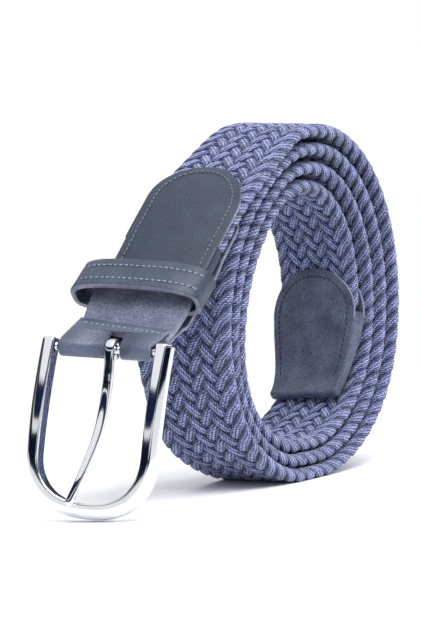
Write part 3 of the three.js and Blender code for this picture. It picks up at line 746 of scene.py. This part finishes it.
for t in (0.2, 0.4, 0.6, 0.8):
    path.append((lerp(start[0], round_bar(a0), t), unit(lerp(start[1], across, t)), FOLD_HALF))
for i in range(33):
    path.append((round_bar(lerp(a0, a1, i / 32)), across, WRAP_HALF))
for t in (0.12, 0.25, 0.4, 0.55, 0.7, 0.85, 1):
    path.append((lerp(round_bar(a1), edge_mid, t), unit(lerp(across, edge_wide, t)), FOLD_HALF))
rings = []
for i, (p, wide, half) in enumerate(path):
    t = unit(path[min(i + 1, len(path) - 1)][0] - path[max(i - 1, 0)][0])
    normal = unit(np.cross(t, wide))
    pts = section(half, -LEATHER_T / 2, LEATHER_T / 2, EDGE_ROUND)
    rings.append((p + wide * pts[:, :1] + normal * pts[:, 1:]) * MM)
tab_back = loft("tab_back_leather", rings, False, rounded_side(), (gloss_mat, edge_mat))


def cut_out(piece, cutter):
    """Takes the cutter's shape out of the piece."""
    mod = piece.modifiers.new("cut", "BOOLEAN")
    mod.object = cutter
    mod.operation = "DIFFERENCE"
    mod.solver = "EXACT"
    bpy.context.view_layer.update()
    done = bpy.data.meshes.new_from_object(piece.evaluated_get(bpy.context.evaluated_depsgraph_get()))
    piece.modifiers.clear()
    piece.data = done
    bpy.data.objects.remove(cutter)


SLOT_R = 5.9                 # the slot is cut this far round the bar,
SLOT_LONG = 5.4              # this wide along it
SLOT_AT = -2.3               # and with its middle here
FOLD_SEAM = 14.5             # half length of the fold's seam
FOLD_SEAM_IN = 1.7           # which runs this far inside its edge
disc = []
for k in (-0.5, 0.5):
    at0 = BAR + across * (SLOT_AT + k * SLOT_LONG)
    disc.append([(at0 + down * SLOT_R * math.cos(a) + front * SLOT_R * math.sin(a)) * MM
                 for a in np.linspace(0, 2 * math.pi, 40, endpoint=False)])
cut_out(tab_back, loft("slot_cutter", disc, False, None, (edge_mat,)))
belongs(tab_back, "leather", "tab_back")
v = np.linspace(-FOLD_SEAM, FOLD_SEAM, 30)
pts = edge_mid + edge_normal * LEATHER_T / 2 + edge_wide * v[:, None]
pts = pts * MM - frames(FOLD_EDGE)[1] * FOLD_SEAM_IN * MM
sew("fold_stitches", pts, np.repeat(edge_normal[None], 30, 0), thread_mat)

# The keeper.
# A loop of cowhide round the front strip, sewn with two rows of pale thread. The belt's tip goes through it
# when the belt is worn; here it stands open in front.
KEEPER_T = 2.0
KEEPER_HALF = 20.8           # half its width inside
KEEPER_BEHIND = 1.35         # room inside it behind the front strip
KEEPER_ROOM = 4.9            # and in front
KEEPER_SHIFT = 1.2           # it has slipped this far across
KEEPER_SKEW = 0.09           # and a little askew,
KEEPER_HOLD = 19             # about a place this far to the near side
FRONT_POWER = 2.7            # its front is crowned; a power of 2 would make it an ellipse
BACK_POWER = 5               # its back is nearly flat
keeper_low = FRONT_OUT - FOLDED_T - KEEPER_BEHIND
keeper_high = FRONT_OUT + KEEPER_ROOM
keeper_mid, keeper_along, keeper_wide, keeper_normal = (q[0] for q in frames((KEEPER_FROM + KEEPER_TO) / 2))
keeper_mid = keeper_mid + keeper_wide * KEEPER_SHIFT


def keeper_outline(cuts=128):
    pts = []
    for i in range(cuts):
        a = 2 * math.pi * i / cuts
        e = 2 / (FRONT_POWER if math.sin(a) > 0 else BACK_POWER)
        c = math.copysign(abs(math.cos(a)) ** e, math.cos(a))
        d = math.copysign(abs(math.sin(a)) ** e, math.sin(a))
        pts.append((c * KEEPER_HALF, (keeper_low + keeper_high) / 2 + d * (keeper_high - keeper_low) / 2))
    return np.array(pts)


outline = keeper_outline()
tangent = np.roll(outline, -1, 0) - np.roll(outline, 1, 0)
tangent /= np.linalg.norm(tangent, axis=1)[:, None]
outward = np.column_stack([tangent[:, 1], -tangent[:, 0]])
band = section((KEEPER_TO - KEEPER_FROM) / 2, 0, KEEPER_T, 0.5)


def on_keeper(q, n, x, d):
    askew = x - KEEPER_SKEW * (q[0] + KEEPER_HOLD)
    return (keeper_mid + keeper_along * askew + keeper_wide * (q[0] + n[0] * d)
            + keeper_normal * (q[1] + n[1] * d)) * MM


rings = [[on_keeper(q, n, x, d) for x, d in band] for q, n in zip(outline, outward)]
keeper = loft("keeper_leather", rings, True, rounded_side(), (hide_mat, edge_mat))
belongs(keeper, "leather", "keeper")
# The stitches run along its front face.
face = [i for i in range(len(outline)) if 4 < i < 60]
for name, x in (("keeper_stitches_a", -3.0), ("keeper_stitches_b", 2.8)):
    pts = [on_keeper(outline[i], outward[i], x, KEEPER_T) for i in face]
    nrm = [keeper_wide * outward[i][0] + keeper_normal * outward[i][1] for i in face]
    sew(name, pts, nrm, thread_mat)

# The leather of the free tip.
# Cowhide folded round the braid's end, with a U-shaped upper end on either face, and sewn along its edge with
# dark thread. Beyond the braid its two layers are built as one block.
TIP_LENGTH = 51.0
TIP_W = 37.2
TIP_ROUND = 18.0             # each U is this deep
TAPER_FROM = 18              # from here down it narrows,
TAPER_LONG = 32              # over this length,
TIP_FOLD_HALF = 15.0         # to this half width at the square fold
TIP_FOLD_T = 1.8             # and this half thickness
FOLD_ROUND = 0.8             # rounding of the block's edges
FOLD_CORNER = 1.6            # the fold's corners draw in by this, times the share of thickness lost
TIP_SEAM_IN = 3.0            # the seam runs this far inside the edge
TIP_THREAD = 0.26
tip_outer = STRAP_T / 2 + GAP + BRAID_ROOM + LEATHER_T
tip_from = LENGTH - TIP_LENGTH
solid_from = LENGTH - TIP_BRAID + 0.5


def tip_half(s):
    taper = lerp(TIP_W / 2, TIP_FOLD_HALF, ease((s - tip_from - TAPER_FROM) / TAPER_LONG))
    return max(END_HALF, min(u_half(s - tip_from, TIP_W / 2, TIP_ROUND, 2), taper))


def tip_thin(s):
    return lerp(tip_outer, TIP_FOLD_T, ease((s - solid_from) / (LENGTH - solid_from)))


# Where sheet and block meet, the end of each lies sunk in the other, so that no seam shows.
sheet_stations = [tip_from + 0.02 + (solid_from - tip_from) * (i / 26) ** 1.8 for i in range(27)]
sheet_stations += [solid_from + 1.3, solid_from + 3]
for name, side in (("tip_leather_outside", 1), ("tip_leather_inside", -1)):
    rings = []
    for s in sheet_stations:
        sunk = 0.1 if s > solid_from + 2 else 0
        lo, hi = sorted((side * (tip_thin(s) - LEATHER_T), side * (tip_thin(s) - sunk)))
        pts = section(tip_half(s) - sunk, lo, hi, EDGE_ROUND)
        rings.append(place(np.full(len(pts), s), pts[:, 0], pts[:, 1]))
    sheet = loft(name, rings, False, rounded_side(), (tip_mat, edge_mat))
    belongs(sheet, "leather", "tip_cover")
rings = []
for s in [solid_from, solid_from + 1.3, *np.linspace(solid_from + 2.6, LENGTH - 1.6, 24)]:
    sunk = 0.15 if s == solid_from else 0
    pts = section(tip_half(s) - sunk, sunk - tip_thin(s), tip_thin(s) - sunk, FOLD_ROUND)
    rings.append(place(np.full(len(pts), s), pts[:, 0], pts[:, 1]))
for back, k in ((1.2, 0.99), (0.8, 0.95), (0.5, 0.86), (0.2, 0.7), (0.05, 0.5), (0, 0.3)):
    s = LENGTH - back
    pts = section(tip_half(s) - (1 - k) * FOLD_CORNER, -tip_thin(s) * k, tip_thin(s) * k, FOLD_ROUND)
    rings.append(place(np.full(len(pts), s), pts[:, 0], pts[:, 1]))
belongs(loft("tip_leather_end", rings, False, None, (tip_mat,)), "leather", "tip_cover")
tip_run = [(s, -(tip_half(s) - TIP_SEAM_IN)) for s in np.linspace(LENGTH - 8, tip_from + TIP_ROUND + 1, 30)]
arch = []
for i in range(1, 40):
    a = math.pi * i / 40
    from_top = TIP_ROUND - (TIP_ROUND - TIP_SEAM_IN) * math.sin(a)
    arch.append((tip_from + from_top, -(TIP_W / 2 - TIP_SEAM_IN) * math.cos(a)))
whole = tip_run + arch + [(s, -v) for s, v in reversed(tip_run)]
pts, nrm = on_strip(whole, 0)
height = np.array([tip_thin(s) for s, _ in whole])[:, None] * MM
pts = pts - nrm * height
tip_sewing = stitches("tip_stitches", pts, -nrm, STITCH, TIP_THREAD, STITCH_GAP, dark_thread_and_hole_shade_mat)
belongs(tip_sewing, "leather")

# The buckle's frame.
# A horseshoe of cast zinc with a bar across its legs, polished and chrome plated.
FRAME_L = 56.0               # from the tops of the legs to the foot
FRAME_IN = 34.6              # width between the legs
FRAME_BOW = 2.4              # its face stands out this much halfway down
FRAME_WIDE = 4.8
FRAME_CORNER = 15.6          # height of the bend at the foot,
FOOT_POWER = 2.4             # and how square it is; 2 would make it an ellipse
BAR_REACH = 2                # the bar goes this far into each leg
# The section of a leg: (out from the opening, forward of the face).
PROFILE = ((0.00, -5.2), (0.00, -0.5), (0.45, 0.00), (2.70, 0.00), (3.30, -0.25), (4.80, -2.1), (4.80, -4.9),
           (4.20, -5.6), (0.40, -5.6))


def on_frame(u, v, w):
    return (TOP + across * u + down * v + front * w) * MM


def bow(v):
    t = min(max(v / FRAME_L, 0), 1)
    return 4 * FRAME_BOW * t * (1 - t)


def softened(profile, radius=0.32, cuts=3):
    """The profile with each corner rounded."""
    pts = []
    n = len(profile)
    for i in range(n):
        a, b, c = (np.array(profile[j % n]) for j in (i - 1, i, i + 1))
        p, q = unit(a - b), unit(c - b)
        r = min(radius, np.linalg.norm(a - b) * 0.45, np.linalg.norm(c - b) * 0.45)
        for k in range(cuts + 1):
            t = k / cuts
            pts.append(((1 - t) ** 2) * (b + p * r) + 2 * t * (1 - t) * b + t * t * (b + q * r))
    return pts


# Chrome plate mirrors the room sharply, in bright and dark bands that a slight unevenness bends.
RIPPLES = 0.12               # waves of that unevenness in a mm, about 8 mm each
chrome_mat = new_material("chrome_plate")
spot = node(chrome_mat, "ShaderNodeTexCoord")
ripple = node(chrome_mat, "ShaderNodeTexNoise", {"Scale": RIPPLES / MM, "Detail": 1.0},
              Vector=(spot, "Object"))
wavy = node(chrome_mat, "ShaderNodeBump", {"Strength": 0.06, "Distance": 0.0006}, Height=(ripple, "Fac"))
body = node(chrome_mat, "ShaderNodeBsdfPrincipled",
            {"Metallic": 1.0, "Roughness": 0.06, "Base Color": linear("E4E7EC")}, Normal=(wavy, "Normal"))
node(chrome_mat, "ShaderNodeOutputMaterial", None, Surface=(body, "BSDF"))

half = FRAME_IN / 2
straight = FRAME_L - FRAME_WIDE - FRAME_CORNER
legs = 30
route = [(half, straight * i / legs, 1.0, 0.0) for i in range(legs + 1)]
arc = 60
for i in range(1, 2 * arc):
    a = i / (2 * arc) * math.pi
    e = 2 / FOOT_POWER
    c = math.copysign(abs(math.cos(a)) ** e, math.cos(a))
    d = math.sin(a) ** e
    nu = math.copysign(abs(c) ** (FOOT_POWER - 1), c) / half
    nv = d ** (FOOT_POWER - 1) / FRAME_CORNER
    route.append((c * half, straight + d * FRAME_CORNER, nu / math.hypot(nu, nv), nv / math.hypot(nu, nv)))
route += [(-half, straight * i / legs, -1.0, 0.0) for i in range(legs, -1, -1)]
soft_profile = np.array(softened(PROFILE))
core = soft_profile.mean(0)
ENDS = ((0.0, 0.76), (0.1, 0.86), (0.3, 0.95), (0.65, 1.0))      # each leg's top is rounded: (mm down, scale)
route = [(half, v, 1.0, 0.0) for v, _ in ENDS] + route[1:-1] + [(-half, v, -1.0, 0.0) for v, _ in ENDS[::-1]]
scales = [k for _, k in ENDS] + [1.0] * (len(route) - 2 * len(ENDS)) + [k for _, k in ENDS[::-1]]
rings = []
for (u, v, nu, nv), scale in zip(route, scales):
    ring = core + (soft_profile - core) * scale
    rings.append([on_frame(u + nu * a, v + nv * a, b + bow(v + nv * a)) for a, b in ring])
buckle = loft("frame_chrome", rings, False, None, (chrome_mat,))
belongs(buckle, "chrome", "buckle_frame", body="frame")
rings = []
for k in np.linspace(-0.5, 0.5, 12):
    at0 = BAR + across * k * (FRAME_IN + 2 * BAR_REACH)
    rings.append([(at0 + down * BAR_R * math.cos(a) + front * BAR_R * math.sin(a)) * MM
                  for a in np.linspace(0, 2 * math.pi, 24, endpoint=False)])
belongs(loft("frame_bar", rings, False, None, (chrome_mat,)), "chrome", "buckle_frame", body="frame")

# The prong.
# A chrome-plated wire, flattened and rolled into an eye round the bar; its blunt point rests on the frame's
# foot.
PRONG_AT = -1.5              # its eye sits here along the bar
PRONG_HALF = 1.6
WIRE_HALF = 0.95             # half its thickness
PRONG_POWER = 0.75           # its section is between an ellipse, which is 1, and a box
EYE = BAR_R + GAP + WIRE_HALF
EYE_FROM = 104               # degrees round the bar
EYE_TO = 356
rows = []                    # across, down, out, half width, half thickness
for i in range(13):
    a = math.radians(lerp(EYE_FROM, EYE_TO, i / 12))
    rows.append((PRONG_AT, BAR_DOWN + EYE * math.sin(a), -BAR_IN + EYE * math.cos(a), PRONG_HALF, WIRE_HALF))
SHANK = ((-1.8, 9.3, -2.2, 1.6, 1.0), (-1.7, 14.0, -2.7, 1.6, 1.1), (-1.5, 18.8, -2.7, 1.55, 1.1),
         (-1.25, 25.1, -2.1, 1.5, 1.05), (-0.7, 31.5, -0.9, 1.42, 1.0), (0.5, 38.0, 0.5, 1.38, 1.0),
         (2.0, 44.3, 1.7, 1.34, 0.95), (4.8, 52.6, 2.1, 1.3, 0.9))
rows = np.array(rows + list(SHANK))
_, fine_line = centre_line(np.column_stack([rows[:, :3], rows[:, 3]]), 12)
_, fine_thick = centre_line(np.column_stack([rows[:, :3], rows[:, 4]]), 12)
# Rings along the prong: (share of the way along it, scale); the last ones round off the point.
places = [(0.988 * i / 180, 1.0) for i in range(181)]
places += [(0.99, 0.99), (0.992, 0.97), (0.9935, 0.93), (0.995, 0.88), (0.9965, 0.79), (0.9975, 0.7),
           (0.9985, 0.56), (0.9993, 0.4)]
rings = []
for place_u, scale in places:
    k = place_u * (len(fine_line) - 1)
    i = min(int(k), len(fine_line) - 2)
    p = lerp(fine_line[i, :3], fine_line[i + 1, :3], k - i)
    t = unit(fine_line[i + 1, :3] - fine_line[max(i - 1, 0), :3])
    side = unit(np.array([1.0, 0, 0]) - t * t[0])
    up = np.cross(side, t)
    ring = []
    for a in np.linspace(0, 2 * math.pi, 24, endpoint=False):
        c = math.copysign(abs(math.cos(a)) ** PRONG_POWER, math.cos(a)) * fine_line[i, 3] * scale
        h = math.copysign(abs(math.sin(a)) ** PRONG_POWER, math.sin(a)) * fine_thick[i, 3] * scale
        ring.append(on_frame(*(p + side * c + up * h)))
    rings.append(ring)
belongs(loft("prong_chrome", rings, False, None, (chrome_mat,)), "chrome", "buckle_prong", body="prong")

# The table and the light.
# A white table in a bright white studio, with soft boxes above and beside it, and darker gaps between them
# that the chrome mirrors.
TABLE_R = 8                  # metres
HAZE = 0.003                 # faint clouds on the table in a mm
# A matt white top, so even that the eye sees only the shadows on it.
floor_mat = new_material("white_table")
spot = node(floor_mat, "ShaderNodeTexCoord")
haze = node(floor_mat, "ShaderNodeTexNoise", {"Scale": HAZE / MM}, Vector=(spot, "Object"))
colour = ramp(floor_mat, haze, "Fac", ((0.3, "F8F9FC"), (0.7, "FBFBFD")))
body = node(floor_mat, "ShaderNodeBsdfPrincipled", {"Roughness": 0.6, "Specular IOR Level": 0.2},
            Base_Color=(colour, "Color"))
# Away from the roll the table runs into an evenly lit white.
away = node(floor_mat, "ShaderNodeVectorMath", {"operation": "LENGTH"}, Vector=(spot, "Object"))
fade = node(floor_mat, "ShaderNodeMapRange", {"From Min": 0.12, "From Max": 0.5}, Value=(away, "Value"))
glow = node(floor_mat, "ShaderNodeEmission", {"Strength": 1.0, "Color": (1, 1, 1, 1)})
blend = node(floor_mat, "ShaderNodeMixShader", None, Fac=(fade, "Result"))
floor_mat.node_tree.links.new(body.outputs["BSDF"], blend.inputs[1])
floor_mat.node_tree.links.new(glow.outputs["Emission"], blend.inputs[2])
node(floor_mat, "ShaderNodeOutputMaterial", None, Surface=(blend, "Shader"))
mesh = bpy.data.meshes.new("table")
ring = [(TABLE_R * math.cos(a), TABLE_R * math.sin(a), -0.0001)
        for a in np.linspace(0, 2 * math.pi, 64, endpoint=False)]
mesh.from_pydata(ring, [], [tuple(range(64))])
mesh.materials.append(floor_mat)
table = in_scene("table", mesh)

AHEAD = (-0.66, -0.751, 0.0)         # toward the middle of the part of the room named ahead below
DIMMED = 0.4                 # share of its light that the room keeps from matt surfaces
world = bpy.data.worlds.new("studio")
bpy.context.scene.world = world
world.use_nodes = True
world.node_tree.nodes.clear()
spot = node(world, "ShaderNodeTexCoord")
split = node(world, "ShaderNodeSeparateXYZ", None, Vector=(spot, "Generated"))
around = node(world, "ShaderNodeVectorMath", {"operation": "DOT_PRODUCT"}, Vector=(spot, "Generated"))
around.inputs[1].default_value = AHEAD
# Bands of the room by height, from level to overhead: all round, ahead and behind.
bands = ramp(world, split, "Z", ((0.0, 0.95), (0.12, 0.95), (0.14, "0B1328"), (0.27, "0B1328"), (0.285, 0.9),
                                 (0.31, 0.9), (0.325, "17223F"), (0.45, "17223F"), (0.48, 1.0), (1.0, 1.0)))
ahead_bands = ramp(world, split, "Z", ((0.0, "0A0F20"), (0.14, "0A0F20"), (0.17, 0.9), (0.25, 0.9),
                                       (0.28, "10182E"), (0.5, "10182E"), (0.56, 1.0)))
behind_bands = ramp(world, split, "Z", ((0.0, 0.06), (0.32, 0.06), (0.42, 1.0)))


def blended(first, second, low, high):
    """First and second colour, changing over as the direction turns from low to high."""
    part = node(world, "ShaderNodeMapRange", {"From Min": low, "From Max": high}, Value=(around, "Value"))
    n = node(world, "ShaderNodeMix", {"data_type": "RGBA"})
    world.node_tree.links.new(part.outputs["Result"], n.inputs[0])
    world.node_tree.links.new(first, n.inputs[6])
    world.node_tree.links.new(second, n.inputs[7])
    return n.outputs[2]


room = blended(bands.outputs["Color"], ahead_bands.outputs["Color"], 0.86, 0.94)
room = blended(room, behind_bands.outputs["Color"], -0.35, -0.6)
seen = node(world, "ShaderNodeLightPath")
white = node(world, "ShaderNodeMix", {"data_type": "RGBA"})
white.inputs[7].default_value = (1, 1, 1, 1)
world.node_tree.links.new(seen.outputs["Is Camera Ray"], white.inputs[0])
world.node_tree.links.new(room, white.inputs[6])
# The room lights matt surfaces less than it shows in the chrome, so that the soft boxes leave shadows.
dimmed = combine(world, "MULTIPLY", seen.outputs["Is Diffuse Ray"], DIMMED)
strength = combine(world, "SUBTRACT", 1.0, dimmed)
sky = node(world, "ShaderNodeBackground", None, Color=white.outputs[2], Strength=strength)
node(world, "ShaderNodeOutputWorld", None, Surface=(sky, "Background"))


def soft_box(name, place_at, size, power, mirrored):
    """A rectangular studio light aimed at the roll, in metres and watts."""
    light = bpy.data.lights.new(name, "AREA")
    light.shape = "RECTANGLE"
    light.size, light.size_y = size
    light.energy = power
    obj = in_scene(name, light)
    obj.location = place_at
    aim = np.array([0, 0, 0.05]) - np.array(place_at)
    yaw = math.atan2(aim[1], aim[0])
    pitch = math.atan2(math.hypot(aim[0], aim[1]), -aim[2])
    obj.rotation_euler = (pitch, 0, yaw - math.pi / 2)
    obj.visible_glossy = mirrored


soft_box("key", (-0.4, -0.5, 1.2), (0.9, 0.9), 18, True)
soft_box("side", (1.0, -1.1, 0.6), (0.7, 0.9), 16, False)
soft_box("fill", (-1.1, 0.5, 0.7), (0.8, 0.8), 3, False)
soft_box("back", (0.6, 0.9, 1.0), (0.9, 0.6), 6, False)

# The camera.
# It looks at the roll a little from above the rim, with the buckle towards it.
CAM_AZ = math.radians(-56.329)
CAM_EL = math.radians(1.972)
CAM_ROLL = math.radians(-2.896)
CAM_AWAY = 649.612
PICTURE = (421, 631)         # width and height in pixels
CAM_FOCAL = 1825.827         # in pixels of it
SENSOR = 36                  # mm
CENTRE = (259.596, 315.903)  # where the roll's centre lies in it
SINK = 2.0                   # the whole picture lies this much lower
back = np.array([math.sin(CAM_AZ) * math.cos(CAM_EL), -math.cos(CAM_AZ) * math.cos(CAM_EL), math.sin(CAM_EL)])
eye = np.array([0, 0, COIL_Z]) + back * CAM_AWAY
side = unit(np.cross(-back, [0, 0, 1.0]))
up = np.cross(side, -back)
right_by = CENTRE[0] - PICTURE[0] / 2
down_by = CENTRE[1] - PICTURE[1] / 2
ahead = unit(-back - side * right_by / CAM_FOCAL + up * down_by / CAM_FOCAL)
side = unit(np.cross(ahead, [0, 0, 1.0]))
up = np.cross(side, ahead)
cos_roll = math.cos(CAM_ROLL)
sin_roll = math.sin(CAM_ROLL)
side, up = (side * cos_roll + up * sin_roll, up * cos_roll - side * sin_roll)
lens = bpy.data.cameras.new("camera")
lens.sensor_width = SENSOR
lens.lens = CAM_FOCAL * SENSOR / PICTURE[1]
lens.shift_y = SINK / PICTURE[1]
lens.clip_start = 0.01
lens.clip_end = 50
camera = in_scene("camera", lens)
turn = Matrix([(side[i], up[i], -ahead[i], eye[i] * MM) for i in range(3)] + [(0, 0, 0, 1)])
camera.matrix_world = turn
bpy.context.scene.camera = camera
bpy.context.scene.view_settings.view_transform = "Standard"
